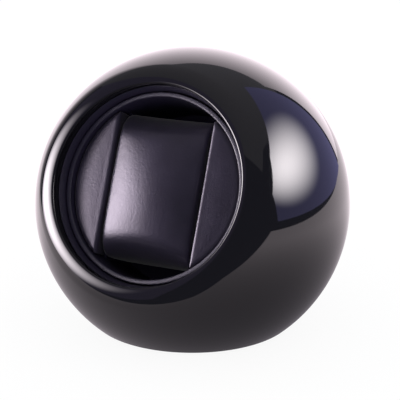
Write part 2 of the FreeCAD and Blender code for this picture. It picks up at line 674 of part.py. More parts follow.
def rocker_button():
    """Rocker with two sloping faces, shown with its lower side pressed in."""
    w, h = ROCKER[0] - 0.8, ROCKER[1] - 1.6
    rise, drop = 2.9, 2.0
    outline = [(-h / 2, rise - 0.6), (0.0, 1.5), (h / 2, rise - 0.6), (h / 2 - 0.8, -drop), (-h / 2 + 0.8, -drop)]
    points = [Vector(ROCKER_X - w / 2, PANEL_Y - 0.6 + y, z) for z, y in outline]
    face = Part.Face(Part.makePolygon(points + points[:1]))
    button = face.extrude(Vector(w, 0, 0))
    bore = Part.makeCylinder(0.9 + RUNNING_GAP, w + 2, Vector(ROCKER_X - w / 2 - 1, PANEL_Y - 0.6, 0), X)
    button = button.cut(bore)
    button.rotate(Vector(ROCKER_X, PANEL_Y - 0.6, 0), X, -8.0)
    return placed(button, TO_OBJECT)


def direction_switch():
    """Body of the slide switch, on the board behind the panel's slot."""
    y0 = BOARD_Y + BOARD[2]
    body = block(-6.5, 6.5, y0, PANEL_Y - PANEL_T - 0.5, SLIDER_Z - 2.9, SLIDER_Z + 2.9)
    reach = SLIDER_HALF + SLIDER_TRAVEL + 0.4
    track = block(-reach, reach, y0 + 3.0, PANEL_Y, SLIDER_Z - 1.6, SLIDER_Z + 1.6)
    return placed(body.cut(track), TO_OBJECT)


def direction_slider():
    """Small cap that is pushed sideways to choose the turning direction."""
    y0 = BOARD_Y + BOARD[2] + 3.3
    cap = block(-SLIDER_HALF, SLIDER_HALF, y0, PANEL_Y + 2.0, SLIDER_Z - 1.3, SLIDER_Z + 1.3)
    grooves = [block(x - 0.2, x + 0.2, PANEL_Y + 1.6, PANEL_Y + 3, SLIDER_Z - 2, SLIDER_Z + 2) for x in (-1, 0, 1)]
    return placed(cap.cut(group(grooves)), TO_OBJECT)


def power_inlet():
    """Barrel socket for a low-voltage adapter, with its centre pin."""
    y0 = BOARD_Y + BOARD[2]
    body = block(-4.6, 4.6, y0, PANEL_Y - PANEL_T - 0.3, INLET_Z - 4.6, INLET_Z + 4.6)
    nose = rod_y(4.1, y0, PANEL_Y + 0.4, 0, INLET_Z)
    bore = rod_y(2.9, y0 + 1.0, PANEL_Y + 2, 0, INLET_Z)
    pin = rod_y(1.0, y0, PANEL_Y - 1.0, 0, INLET_Z)
    return placed(fused([fused([body, nose]).cut(bore), pin]), TO_OBJECT)


def indicator_lamp():
    y0 = BOARD_Y + BOARD[2]
    stem = rod_y(1.5, y0, PANEL_Y, 0, LAMP_Z)
    return placed(fused([stem, Part.makeSphere(1.5, Vector(0, PANEL_Y, LAMP_Z))]), TO_OBJECT)


def lead_connector():
    body = block(-24.0, -16.0, BOARD_Y - 5.0, BOARD_Y, -9.0, -4.0)
    return placed(body, TO_OBJECT)


def bent_tube(points, radius, bend):
    """A wire of straight runs joined by tangent arcs."""
    edges = []
    start = points[0]
    for before, here, after in zip(points, points[1:], points[2:]):
        a = (before - here).normalize()
        b = (after - here).normalize()
        half = a.getAngle(b) / 2
        back = bend / math.tan(half)
        p, q = here + a * back, here + b * back
        inward = (a + b).normalize()
        mid = here + inward * (bend / math.sin(half) - bend)
        edges.append(Part.makeLine(start, p))
        edges.append(Part.Arc(p, mid, q).toShape())
        start = q
    edges.append(Part.makeLine(start, points[-1]))
    path = Part.Wire(edges)
    heading = (points[1] - points[0]).normalize()
    ring = Part.Wire(Part.makeCircle(radius, points[0], heading))
    return path.makePipeShell([ring], True, False)


def motor_lead(tag_x, plug_x):
    """One insulated lead from a motor tag to the board's connector."""
    back_z = BRACKET_Z - BRACKET - GEARBOX[1] - CAN[1] - 3.5
    to_ball = FreeCAD.Placement(Vector(0, 0, 0), FreeCAD.Rotation(X, 90.0 - TILT))
    tag = to_ball.multVec(Vector(-GEAR_DISTANCE + tag_x, 0, back_z))
    way = to_ball.Rotation.multVec(Vector(0, 0, -1))
    plug = Vector(plug_x, BOARD_Y - 2.5, -9.0)
    points = [tag, tag + way * 2.4, Vector(plug_x, BOARD_Y - 2.5, plug.z - 6.0), plug]
    return placed(bent_tube(points, 0.55, 1.2), TO_OBJECT)


# ---------------------------------------------------------------- write every node
NODES = {
    "main_shell": main_shell,
    "rear_cover": rear_cover,
    "cover_screws": cover_screws,
    "base_plate": base_plate,
    "base_screws": base_screws,
    "foot_ring": foot_ring,
    "drum_housing": drum_housing,
    "housing_screws": housing_screws,
    "shaft_bush": shaft_bush,
    "thrust_washer": thrust_washer,
    "drum_cup": drum_cup,
    "drum_hub": drum_hub,
    "hub_screws": hub_screws,
    "drum_shaft": drum_shaft,
    "retaining_clip": retaining_clip,
    "drum_gear": drum_gear,
    "left_cheek_former": lambda: cheek_former(-1),
    "right_cheek_former": lambda: cheek_former(1),
    "left_cheek_pad": lambda: cheek_pad(-1),
    "right_cheek_pad": lambda: cheek_pad(1),
    "slot_pad": slot_pad,
    "pillow_pad": pillow_pad,
    "pillow_core": pillow_core,
    "motor_bracket": motor_bracket,
    "bracket_dampers": bracket_dampers,
    "bracket_screws": bracket_screws,
    "gearbox_case": gearbox_case,
    "motor_can": motor_can,
    "motor_screws": motor_screws,
    "motor_shaft": motor_shaft,
    "motor_pinion": motor_pinion,
    "control_panel": control_panel,
    "panel_screws": panel_screws,
    "circuit_board": circuit_board,
    "control_chip": control_chip,
    "rotary_switch": rotary_switch,
    "mode_knob": mode_knob,
    "rocker_frame": rocker_frame,
    "rocker_button": rocker_button,
    "direction_switch": direction_switch,
    "direction_slider": direction_slider,
    "power_inlet": power_inlet,
    "indicator_lamp": indicator_lamp,
    "lead_connector": lead_connector,
    "motor_lead_red": lambda: motor_lead(-5.5, -22.0),
    "motor_lead_black": lambda: motor_lead(5.5, -18.0),
}

os.makedirs("parts", exist_ok=True)
for name, make in NODES.items():
    shape = make()
    if not shape.isValid():
        print("INVALID", name)
    shape.exportStep("parts/" + name + ".step")
    print(f"{name:20s} solids {len(shape.Solids):2d} volume {shape.Volume:10.1f}")
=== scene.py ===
import json
import math

import bmesh
import bpy
from mathutils import Matrix, Vector

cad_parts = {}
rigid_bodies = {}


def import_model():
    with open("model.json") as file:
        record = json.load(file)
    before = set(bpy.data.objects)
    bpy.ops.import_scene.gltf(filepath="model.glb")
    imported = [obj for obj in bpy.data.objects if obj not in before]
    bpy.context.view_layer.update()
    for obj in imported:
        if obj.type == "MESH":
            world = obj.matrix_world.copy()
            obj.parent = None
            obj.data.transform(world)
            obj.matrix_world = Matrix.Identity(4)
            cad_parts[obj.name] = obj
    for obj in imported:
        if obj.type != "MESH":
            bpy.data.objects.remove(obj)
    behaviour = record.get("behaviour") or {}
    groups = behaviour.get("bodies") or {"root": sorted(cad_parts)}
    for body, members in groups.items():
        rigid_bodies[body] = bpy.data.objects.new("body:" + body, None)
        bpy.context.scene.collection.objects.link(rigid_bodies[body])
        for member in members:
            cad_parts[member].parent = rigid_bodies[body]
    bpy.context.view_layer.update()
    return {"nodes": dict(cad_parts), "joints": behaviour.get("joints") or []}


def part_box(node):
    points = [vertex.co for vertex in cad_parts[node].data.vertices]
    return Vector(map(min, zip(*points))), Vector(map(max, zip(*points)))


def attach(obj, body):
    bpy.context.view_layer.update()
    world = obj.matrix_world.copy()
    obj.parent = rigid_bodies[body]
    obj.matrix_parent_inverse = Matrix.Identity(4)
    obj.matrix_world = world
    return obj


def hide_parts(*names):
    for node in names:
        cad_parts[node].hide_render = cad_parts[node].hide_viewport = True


for leftover in list(bpy.data.objects):
    bpy.data.objects.remove(leftover)
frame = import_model()
node = frame["nodes"]

# ------------------------------------------------------------------ ball shell
# One deep moulding in black ABS with a piano finish. The round mouth looks forwards and up,
# and its edge is rolled over into a broad soft lip. The ball is cut flat underneath for the
# base and cut round at the back for the cover.
MM = 0.001
drum_joint = next(j for j in frame["joints"] if j["name"] == "drum_spin")
centre = Vector(drum_joint["pos_m"])
out_of_mouth = Vector(drum_joint["axis"]).normalized()
across = Vector((1, 0, 0))
up_slot = out_of_mouth.cross(across)
shell_low, shell_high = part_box("main_shell")
ball_r = (shell_high.x - shell_low.x) / 2
wall = 3.0 * MM
mouth_r = 50.0 * MM
lip_r = 13.2 * MM
lip_edge = 1.0 * MM
lip_ring = mouth_r + lip_edge
lip_z = math.sqrt((ball_r - lip_r) ** 2 - lip_ring ** 2)
seat_z = 54.36 * MM
rear_r = 50.0 * MM

drum_frame = Matrix.Translation(centre) @ Matrix((across, up_slot, out_of_mouth)).transposed().to_4x4()


def arc(cx, cz, radius, start, end, steps):
    """Points of an arc in the XZ plane; angles in degrees from +X towards +Z."""
    turn = [math.radians(start + (end - start) * k / steps) for k in range(steps + 1)]
    return [(cx + radius * math.cos(t), cz + radius * math.sin(t)) for t in turn]


def lathe(outline, steps):
    """A bmesh of an (x, z) outline spun about Z."""
    bm = bmesh.new()
    points = [bm.verts.new((x, 0, z)) for x, z in outline]
    edges = [bm.edges.new(pair) for pair in zip(points, points[1:])]
    bmesh.ops.spin(bm, geom=points + edges, cent=(0, 0, 0), axis=(0, 0, 1), angle=2 * math.pi,
                   steps=steps, use_merge=True)
    bmesh.ops.remove_doubles(bm, verts=bm.verts, dist=1e-7)
    bmesh.ops.recalc_face_normals(bm, faces=bm.faces)
    return bm


def new_object(name, bm):
    """Turns a bmesh into a named object in the scene."""
    mesh = bpy.data.meshes.new(name)
    bm.to_mesh(mesh)
    bm.free()
    made = bpy.data.objects.new(name, mesh)
    bpy.context.scene.collection.objects.link(made)
    return made


def finish_piece(name, bm, material, body, sharp=35):
    """Turns a bmesh into a shaded piece at the origin that rides on a body."""
    piece = new_object(name, bm)
    piece.data.shade_smooth()
    piece.data.set_sharp_from_angle(angle=math.radians(sharp))
    piece.data.materials.append(material)
    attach(piece, body)
    return piece


def new_material(name):
    """A material with its shader, and a function that adds a node."""
    material = bpy.data.materials.new(name)
    material.use_nodes = True
    tree = material.node_tree
    shader = tree.nodes["Principled BSDF"]

    def add(kind, **values):
        made = tree.nodes.new(kind)
        for key, value in values.items():
            if key in made.inputs:
                made.inputs[key].default_value = value
            else:
                setattr(made, key, value)
        return made

    return material, shader, add, tree.links.new


def object_noise(add, link, scale, detail=3.0, roughness=0.55):
    """Noise on Object coordinates, in repeats per metre."""
    where = add("ShaderNodeTexCoord")
    pattern = add("ShaderNodeTexNoise", Scale=scale, Detail=detail, Roughness=roughness)
    link(where.outputs["Object"], pattern.inputs["Vector"])
    return pattern.outputs["Fac"]


def add_bump(add, link, shader, height, strength, distance):
    bump = add("ShaderNodeBump", Strength=strength, Distance=distance)
    link(height, bump.inputs["Height"])
    link(bump.outputs["Normal"], shader.inputs["Normal"])


def ranged(add, link, factor, low, high):
    """Maps a 0 to 1 pattern to a range of values."""
    scaled = add("ShaderNodeMapRange")
    scaled.inputs["To Min"].default_value = low
    scaled.inputs["To Max"].default_value = high
    link(factor, scaled.inputs["Value"])
    return scaled.outputs["Result"]


def repaint(material, *names):
    """Gives carried-over nodes a material."""
    for name in names:
        node[name].data.materials.clear()
        node[name].data.materials.append(material)


def piano_black():
    """Deep black gloss with a faint moulding ripple and slightly uneven polish."""
    material, shader, add, link = new_material("piano_black")
    shader.inputs["Base Color"].default_value = (0.0035, 0.0033, 0.0045, 1)
    shader.inputs["IOR"].default_value = 1.53
    link(ranged(add, link, object_noise(add, link, 60), 0.028, 0.052), shader.inputs["Roughness"])
    add_bump(add, link, shader, object_noise(add, link, 22, 1.0), 0.05, 0.0004)
    return material


gloss = piano_black()


def ball_shell():
    lip_start = math.degrees(math.atan2(lip_z, lip_ring))
    lip_top = lip_z + lip_r
    inner_r = ball_r - wall
    collar_in = 52.0 * MM
    collar_out = 54.2 * MM
    collar_back = seat_z - 12.0 * MM
    lip_back = 56.0 * MM
    inner_top = math.degrees(math.asin(lip_back / inner_r))
    outline = arc(0, 0, ball_r, -90, lip_start, 150)
    outline += arc(lip_ring, lip_z, lip_r, lip_start, 90, 24)[1:]
    outline += arc(lip_ring, lip_top - lip_edge, lip_edge, 90, 180, 8)[1:]
    outline += [(mouth_r, seat_z), (collar_in, seat_z), (collar_in, collar_back)]
    outline += [(collar_out, collar_back), (collar_out, lip_back)]
    outline += arc(0, 0, inner_r, inner_top, -90, 60)
    bm = lathe(outline, 256)
    bm.transform(drum_frame)
    floor_cut = shell_low.z
    rear_y = centre.y + math.sqrt(ball_r ** 2 - rear_r ** 2)
    for point, normal in (((0, 0, floor_cut), (0, 0, -1)), ((0, rear_y, 0), (0, 1, 0))):
        geometry = bm.verts[:] + bm.edges[:] + bm.faces[:]
        cut = bmesh.ops.bisect_plane(bm, geom=geometry, plane_co=point, plane_no=normal, clear_outer=True)
        edges = [e for e in cut["geom_cut"] if isinstance(e, bmesh.types.BMEdge)]
        bmesh.ops.bridge_loops(bm, edges=edges)
    bmesh.ops.recalc_face_normals(bm, faces=bm.faces)
    piece = finish_piece("ball_shell", bm, gloss, "case", sharp=40)
    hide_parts("main_shell")


ball_shell()

# ------------------------------------------------------------------ rear cover
# A cap of the same gloss moulding that closes the back. Four sunk screws hold it, and a
# pocket in its middle holds the control panel.
repaint(gloss, "rear_cover")


# ------------------------------------------------------------------ drum housing
# The satin black bucket behind the lip. Its mouth tapers in a little to the drum's rim, and
# its back plate carries the bush and the motor.
def satin_black():
    """Fine satin moulding with a shallow spark-eroded texture."""
    material, shader, add, link = new_material("satin_black")
    shader.inputs["Base Color"].default_value = (0.013, 0.0105, 0.025, 1)
    link(ranged(add, link, object_noise(add, link, 900, 2.0), 0.36, 0.48), shader.inputs["Roughness"])
    add_bump(add, link, shader, object_noise(add, link, 2600, 2.0), 0.12, 0.00006)
    return material


satin = satin_black()
housing_r = 51.7 * MM
housing_bore = 48.5 * MM
drum_rim_z = 50.8 * MM


def housing_mouth():
    front = seat_z - 0.1 * MM
    taper = drum_rim_z + 0.2 * MM
    plate_back = -10.0 * MM
    plate_front = -7.0 * MM
    outline = [(0, plate_back), (housing_r, plate_back), (housing_r, front), (mouth_r - 0.1 * MM, front)]
    outline += [(housing_bore, taper), (housing_bore, plate_front), (0, plate_front)]
    bm = lathe(outline, 192)
    bm.transform(drum_frame)
    piece = finish_piece("housing_bucket", bm, satin, "case")
    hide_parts("drum_housing")


housing_mouth()

# ------------------------------------------------------------------ drum cup
# The turning cup, moulded in the same satin black, with a thin rounded rim that catches the
# light as a fine line.
rim_r = 47.8 * MM
drum_bore = 45.4 * MM


def drum_cup():
    edge = 0.6 * MM
    body_r = 47.0 * MM
    inner_edge = 0.8 * MM
    low = 3.5 * MM
    floor = 6.0 * MM
    outline = [(0, low), (body_r, low), (body_r, drum_rim_z - 5 * MM), (rim_r, drum_rim_z - 4 * MM)]
    outline += arc(rim_r - edge, drum_rim_z - edge, edge, 0, 90, 6)
    outline += arc(drum_bore + inner_edge, drum_rim_z - inner_edge, inner_edge, 90, 180, 5)
    outline += [(drum_bore, floor), (0, floor)]
    bm = lathe(outline, 192)
    bm.transform(drum_frame)
    piece = finish_piece("drum_cup_shell", bm, satin, "drum")
    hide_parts("drum_cup")


drum_cup()


# ------------------------------------------------------------------ cheek pads
# Half-moon pads of foam under black leatherette. The cover is pulled over a stiff former, so
# the face is softly crowned, slopes a little towards the rim and has rounded edges.
def black_leatherette():
    """Satin leatherette: pebble grain under a millimetre, soft creases and a violet-grey sheen."""
    material, shader, add, link = new_material("black_leatherette")
    where = add("ShaderNodeTexCoord")
    shades = add("ShaderNodeTexNoise", Scale=45.0, Detail=4.0, Roughness=0.6)
    link(where.outputs["Object"], shades.inputs["Vector"])
    ramp = add("ShaderNodeValToRGB")
    ramp.color_ramp.elements[0].color = (0.0075, 0.006, 0.014, 1)
    ramp.color_ramp.elements[1].color = (0.0155, 0.0125, 0.026, 1)
    ramp.color_ramp.elements[0].position = 0.3
    ramp.color_ramp.elements[1].position = 0.7
    link(shades.outputs["Fac"], ramp.inputs["Fac"])
    link(ramp.outputs["Color"], shader.inputs["Base Color"])
    cells = add("ShaderNodeTexVoronoi", Scale=950.0, feature="SMOOTH_F1")
    link(where.outputs["Object"], cells.inputs["Vector"])
    folds = add("ShaderNodeTexNoise", Scale=260.0, Detail=5.0, Roughness=0.65)
    link(where.outputs["Object"], folds.inputs["Vector"])
    height = add("ShaderNodeMath", operation="MULTIPLY_ADD")
    height.inputs[1].default_value = 0.55
    link(cells.outputs["Distance"], height.inputs[0])
    link(folds.outputs["Fac"], height.inputs[2])
    add_bump(add, link, shader, height.outputs[0], 0.34, 0.0002)
    link(ranged(add, link, folds.outputs["Fac"], 0.25, 0.38), shader.inputs["Roughness"])
    shader.inputs["Sheen Weight"].default_value = 0.12
    shader.inputs["Sheen Roughness"].default_value = 0.4
    shader.inputs["Specular IOR Level"].default_value = 0.42
    shader.inputs["Specular Tint"].default_value = (0.93, 0.88, 1.0, 1)
    return material


leather = black_leatherette()
slot_half = 25.0 * MM
cheek_r = 45.2 * MM
cheek_front = 50.2 * MM
cheek_back = 38.0 * MM
cheek_slope = 1.5 * MM


def puff(piece, pressure, frames, cap, hold, stiffness):
    """Swells a closed form as stuffed cloth; hold(point) is 0 where it is glued down, 1 where free."""
    large = 10.0
    bpy.context.view_layer.objects.active = piece
    before = [v.co.copy() for v in piece.data.vertices]
    pinned = piece.vertex_groups.new(name="glued")
    for index, point in enumerate(before):
        pinned.add([index], 1.0 - hold(point), "REPLACE")
    piece.data.transform(Matrix.Scale(large, 4))
    cloth = piece.modifiers.new("stuffing", "CLOTH")
    cloth.settings.quality = 6
    cloth.settings.use_pressure = True
    cloth.settings.uniform_pressure_force = pressure
    cloth.settings.tension_stiffness = 15
    cloth.settings.compression_stiffness = 15
    cloth.settings.bending_stiffness = stiffness
    cloth.settings.vertex_group_mass = "glued"
    cloth.settings.effector_weights.gravity = 0
    scene = bpy.context.scene
    for step in range(1, frames + 1):
        scene.frame_set(step)
    graph = bpy.context.evaluated_depsgraph_get()
    swollen = [v.co / large for v in piece.evaluated_get(graph).data.vertices]
    piece.modifiers.remove(cloth)
    scene.frame_set(1)
    for vertex, start, end in zip(piece.data.vertices, before, swollen):
        shift = end - start
        if shift.length > cap:
            shift = shift.normalized() * cap
        vertex.co = start + shift
    piece.vertex_groups.clear()


def remeshed(piece, voxel):
    """Gives a piece an even mesh of small squares."""
    bpy.context.view_layer.objects.active = piece
    remesh = piece.modifiers.new("even", "REMESH")
    remesh.mode = "VOXEL"
    remesh.voxel_size = voxel
    bpy.ops.object.modifier_apply(modifier=remesh.name)


def relaxed(piece, passes):
    """Evens out a piece's surface."""
    bpy.context.view_layer.objects.active = piece
    smooth = piece.modifiers.new("relax", "SMOOTH")
    smooth.factor = 0.5
    smooth.iterations = passes
    bpy.ops.object.modifier_apply(modifier=smooth.name)


def refine(piece):
    """Applies one subdivision and smooth shading."""
    bpy.context.view_layer.objects.active = piece
    finer = piece.modifiers.new("finer", "SUBSURF")
    finer.levels = 1
    finer.render_levels = 1
    bpy.ops.object.modifier_apply(modifier=finer.name)
    piece.data.shade_smooth()


def cheek(side):
    """One half-moon pad; side is -1 for left and 1 for right."""
    gap = 0.35 * MM
    radius = cheek_r - gap
    inner = slot_half + gap
    reach = math.degrees(math.acos(inner / radius))
    outline = arc(0, 0, radius, -reach, reach, 40)
    bm = bmesh.new()
    corners = [bm.verts.new((side * x, y, cheek_back)) for x, y in outline]
    face = bm.faces.new(corners)
    lifted = bmesh.ops.extrude_face_region(bm, geom=[face])
    top = [v for v in lifted["geom"] if isinstance(v, bmesh.types.BMVert)]
    bmesh.ops.translate(bm, verts=top, vec=(0, 0, cheek_front - 0.9 * MM - cheek_back))
    front_edges = [e for e in bm.edges if all(v in top for v in e.verts)]
    bmesh.ops.bevel(bm, geom=front_edges, offset=1.0 * MM, segments=3, profile=0.5, affect="EDGES",
                    material=-1)
    bmesh.ops.recalc_face_normals(bm, faces=bm.faces)
    name = "left" if side < 0 else "right"
    piece = new_object(name + "_cheek_leather", bm)

    def hold(co):
        margin = min(abs(co.x) - inner, radius - math.hypot(co.x, co.y))
        lift = min(1.0, max(0.0, (co.z - cheek_front + 5 * MM) / (3 * MM)))
        return lift * min(1.0, max(0.0, margin / (5 * MM)))

    remeshed(piece, 0.9 * MM)
    puff(piece, 0.8, 12, 2.5 * MM, hold, 4.0)
    relaxed(piece, 2)
    refine(piece)
    limit = cheek_r - 0.1 * MM
    for vertex in piece.data.vertices:
        lift = max(0.0, (vertex.co.z - cheek_back) / (cheek_front - cheek_back))
        vertex.co.z -= cheek_slope * lift * (abs(vertex.co.x) - inner) / (radius - inner)
        flat = Vector((vertex.co.x, vertex.co.y))
        if flat.length > limit:
            flat = flat.normalized() * limit
            vertex.co.x, vertex.co.y = flat
        if abs(vertex.co.x) < slot_half:
            vertex.co.x = side * slot_half
    piece.data.transform(drum_frame)
    piece.data.materials.append(leather)
    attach(piece, "drum")
    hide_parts(name + "_cheek_pad")


for cheek_side in (-1, 1):
    cheek(cheek_side)


def slot_lining():
    """Dull flocked lining at the bottom and ends of the slot."""
    material, shader, add, link = new_material("slot_lining")
    shader.inputs["Base Color"].default_value = (0.017, 0.0135, 0.032, 1)
    shader.inputs["Specular IOR Level"].default_value = 0.15
    link(ranged(add, link, object_noise(add, link, 700), 0.75, 0.95), shader.inputs["Roughness"])
    add_bump(add, link, shader, object_noise(add, link, 3200, 3.0), 0.4, 0.0001)
    return material


repaint(slot_lining(), "slot_pad", "left_cheek_former", "right_cheek_former")

# ------------------------------------------------------------------ watch pillow
# The removable cushion that the watch is strapped round: foam in a sewn leatherette cover,
# crowned on its face and rolled over at both ends.
pillow_w = 46.0 * MM
pillow_l = 74.0 * MM
pillow_back = 8.0 * MM
pillow_front = 55.0 * MM


def in_order(elements, key):
    """Numbers elements by a key, so that the cloth starts from the same mesh on every run."""
    ranks = {element: rank for rank, element in enumerate(sorted(elements, key=key))}
    elements.sort(key=lambda element: ranks[element])
    elements.index_update()


def watch_pillow():
    """One wrapped band round the face and ends, sewn to a panel on each side, and stuffed."""
    half_l = pillow_l / 2 - 0.2 * MM
    front = pillow_front - 0.3 * MM
    low = pillow_back + 1.0 * MM
    front_roll = 13.0 * MM
    back_roll = 5.0 * MM
    outline = arc(half_l - front_roll, front - front_roll, front_roll, 0, 90, 10)
    outline += arc(-half_l + front_roll, front - front_roll, front_roll, 90, 180, 10)
    outline += arc(-half_l + back_roll, low + back_roll, back_roll, 180, 270, 4)
    outline += arc(half_l - back_roll, low + back_roll, back_roll, 270, 360, 4)
    middle = Vector((0, 0, (front + low) / 2))
    half_w = pillow_w / 2 + 1.2 * MM
    columns = 24
    bm = bmesh.new()
    ring = [bm.verts.new((-half_w, y, z)) for y, z in outline]
    loop = [bm.edges.new(pair) for pair in zip(ring, ring[1:] + ring[:1])]
    long_edges = [e for e in loop if e.calc_length() > 3 * MM]
    for edge in long_edges:
        bmesh.ops.subdivide_edges(bm, edges=[edge], cuts=round(edge.calc_length() / (2 * MM)))
    loop = bm.edges[:]

    def grow(edges, shift, scale):
        made = bmesh.ops.extrude_edge_only(bm, edges=edges)["geom"]
        points = [v for v in made if isinstance(v, bmesh.types.BMVert)]
        for point in points:
            high = middle.z + (point.co.z - middle.z) * scale
            point.co = Vector((point.co.x + shift, point.co.y * scale, high))
        return [e for e in made if isinstance(e, bmesh.types.BMEdge)]

    first = last = loop
    for column in range(columns):
        last = grow(last, 2 * half_w / columns, 1.0)
    bow, crown, waist = 4.8 * MM, 4.3 * MM, 0.7 * MM
    for point in bm.verts:
        across_face, along_face = point.co.x / half_w, point.co.y / half_l
        lift = max(0.0, (point.co.z - middle.z) / (front - middle.z))
        drop = crown * abs(across_face) ** 1.9 * (1 - 0.6 * along_face ** 2)
        point.co.z -= lift * (bow * along_face ** 2 + drop)
        point.co.x -= lift * waist * across_face * (1 - along_face ** 2)
        point.co.y *= 1 - 0.03 * (1 - across_face ** 2)
    for edges in (first, last):
        size = 1.0
        for step in range(14):
            smaller = size - 1 / 15
            edges = grow(edges, 0.0, smaller / size)
            size = smaller
        points = sorted({v for e in edges for v in e.verts}, key=lambda v: v.co[:])
        heart = sum((v.co for v in points), Vector()) / len(points)
        bmesh.ops.pointmerge(bm, verts=points, merge_co=heart)
    bmesh.ops.recalc_face_normals(bm, faces=bm.faces)
    in_order(bm.verts, lambda v: v.co[:])
    in_order(bm.edges, lambda e: sorted(v.index for v in e.verts))
    in_order(bm.faces, lambda f: sorted(v.index for v in f.verts))
    piece = new_object("watch_pillow_leather", bm)

    def hold(co):
        lift = min(1.0, max(0.0, (co.z - pillow_back - 5 * MM) / (8 * MM)))
        seam = abs(co.x) > half_w - 0.3 * MM
        corner = min(1.0, max(0.0, (abs(co.y) / half_l - 0.55) / 0.35))
        return lift * (0.45 - 0.3 * corner if seam else 1.0)

    puff(piece, 0.9, 12, 6 * MM, hold, 14.0)
    relaxed(piece, 2)
    refine(piece)
    side_limit = 24.5 * MM
    drum_limit = 44.9 * MM
    for vertex in piece.data.vertices:
        vertex.co.x = max(-side_limit, min(side_limit, vertex.co.x))
        flat = Vector((vertex.co.x, vertex.co.y))
        if flat.length > drum_limit:
            vertex.co.x, vertex.co.y = flat.normalized() * drum_limit
    piece.data.transform(drum_frame)
    piece.data.materials.append(leather)
    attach(piece, "pillow")
    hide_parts("pillow_pad")


watch_pillow()


# ------------------------------------------------------------------ base and foot
# A satin base plate closes the ball underneath, and a ring of soft rubber under it keeps the
# winder from sliding.
def dull_rubber():
    """Matt black rubber with a dusty mottle."""
    material, shader, add, link = new_material("foot_rubber")
    shader.inputs["Base Color"].default_value = (0.012, 0.012, 0.013, 1)
    link(ranged(add, link, object_noise(add, link, 400), 0.6, 0.8), shader.inputs["Roughness"])
    add_bump(add, link, shader, object_noise(add, link, 1800, 3.0), 0.25, 0.0001)
    return material


repaint(satin, "base_plate")
repaint(dull_rubber(), "foot_ring", "bracket_dampers")


# ------------------------------------------------------------------ metal parts
# Shafts, clips, screws, the bracket and the motor can, in zinc-plated or ground steel.
def plated_steel():
    """Bright steel with fine turning marks."""
    material, shader, add, link = new_material("plated_steel")
    shader.inputs["Base Color"].default_value = (0.55, 0.55, 0.57, 1)
    shader.inputs["Metallic"].default_value = 1.0
    link(ranged(add, link, object_noise(add, link, 700, 4.0), 0.24, 0.42), shader.inputs["Roughness"])
    add_bump(add, link, shader, object_noise(add, link, 3000, 2.0), 0.08, 0.00005)
    return material


def sintered_bronze():
    material, shader, add, link = new_material("sintered_bronze")
    shader.inputs["Base Color"].default_value = (0.48, 0.30, 0.12, 1)
    shader.inputs["Metallic"].default_value = 1.0
    link(ranged(add, link, object_noise(add, link, 1500, 4.0), 0.4, 0.6), shader.inputs["Roughness"])
    add_bump(add, link, shader, object_noise(add, link, 4000, 2.0), 0.2, 0.00006)
    return material


repaint(plated_steel(), "cover_screws", "base_screws", "housing_screws", "hub_screws", "drum_shaft",
        "retaining_clip", "motor_bracket", "bracket_screws", "motor_can", "motor_screws", "motor_shaft",
        "panel_screws")
repaint(sintered_bronze(), "shaft_bush")


# ------------------------------------------------------------------ plain plastics
# Inside mouldings: natural acetal gears, grey switch bodies and the circuit board.
def moulded(name, colour, rough):
    """Plain moulding with a light texture."""
    material, shader, add, link = new_material(name)
    shader.inputs["Base Color"].default_value = (*colour, 1)
    uneven = 0.06
    mottle = ranged(add, link, object_noise(add, link, 500), rough - uneven, rough + uneven)
    link(mottle, shader.inputs["Roughness"])
    add_bump(add, link, shader, object_noise(add, link, 2200, 2.0), 0.1, 0.00006)
    return material


repaint(moulded("acetal", (0.78, 0.75, 0.68), 0.38), "drum_gear", "motor_pinion", "thrust_washer",
        "lead_connector")
repaint(moulded("grey_abs", (0.13, 0.13, 0.14), 0.45), "drum_hub", "pillow_core", "gearbox_case",
        "rotary_switch", "direction_switch")
repaint(moulded("solder_mask", (0.01, 0.11, 0.045), 0.3), "circuit_board")
repaint(moulded("red_pvc", (0.5, 0.02, 0.015), 0.4), "motor_lead_red")
repaint(moulded("black_pvc", (0.01, 0.01, 0.01), 0.4), "motor_lead_black", "control_chip")

# ------------------------------------------------------------------ controls
# A satin panel in the rear pocket with a fluted knob, a rocker, a slide switch, the power
# inlet and a red lamp.
repaint(satin, "control_panel", "rocker_frame", "direction_slider", "power_inlet")
repaint(gloss, "rocker_button", "mode_knob")


def lamp_lens():
    material, shader, add, link = new_material("lamp_lens")
    shader.inputs["Base Color"].default_value = (0.55, 0.01, 0.008, 1)
    shader.inputs["Transmission Weight"].default_value = 0.5
    link(ranged(add, link, object_noise(add, link, 800), 0.05, 0.12), shader.inputs["Roughness"])
    return material


repaint(lamp_lens(), "indicator_lamp")


# ------------------------------------------------------------------ studio
# A white table and surround that light everything softly, and panels that show only as
# reflections in the gloss: a pale backdrop, two soft boxes, the table with a painted shadow
# of the ball in its middle, a dim ceiling and a dark room.
view_azimuth = math.radians(24.9)
view_elevation = math.radians(17.0)
back = Vector((math.sin(view_azimuth) * math.cos(view_elevation),
               -math.cos(view_azimuth) * math.cos(view_elevation), math.sin(view_elevation)))
right = Vector((math.cos(view_azimuth), math.sin(view_azimuth), 0))
above = back.cross(right)
away = Vector((-math.sin(view_azimuth), math.cos(view_azimuth), 0))
camera_data = bpy.data.cameras.new("camera")
camera_data.sensor_width = 36.0
camera_data.lens = 108.0
camera_data.clip_end = 20.0
camera = bpy.data.objects.new("camera", camera_data)
bpy.context.scene.collection.objects.link(camera)
camera_distance, camera_right, camera_up = 7.683, 0.047, 0.015
eye = centre + ball_r * (camera_distance * back + camera_right * right + camera_up * above)
camera.matrix_world = Matrix.Translation(eye) @ Matrix((right, above, back)).transposed().to_4x4()
bpy.context.scene.camera = camera


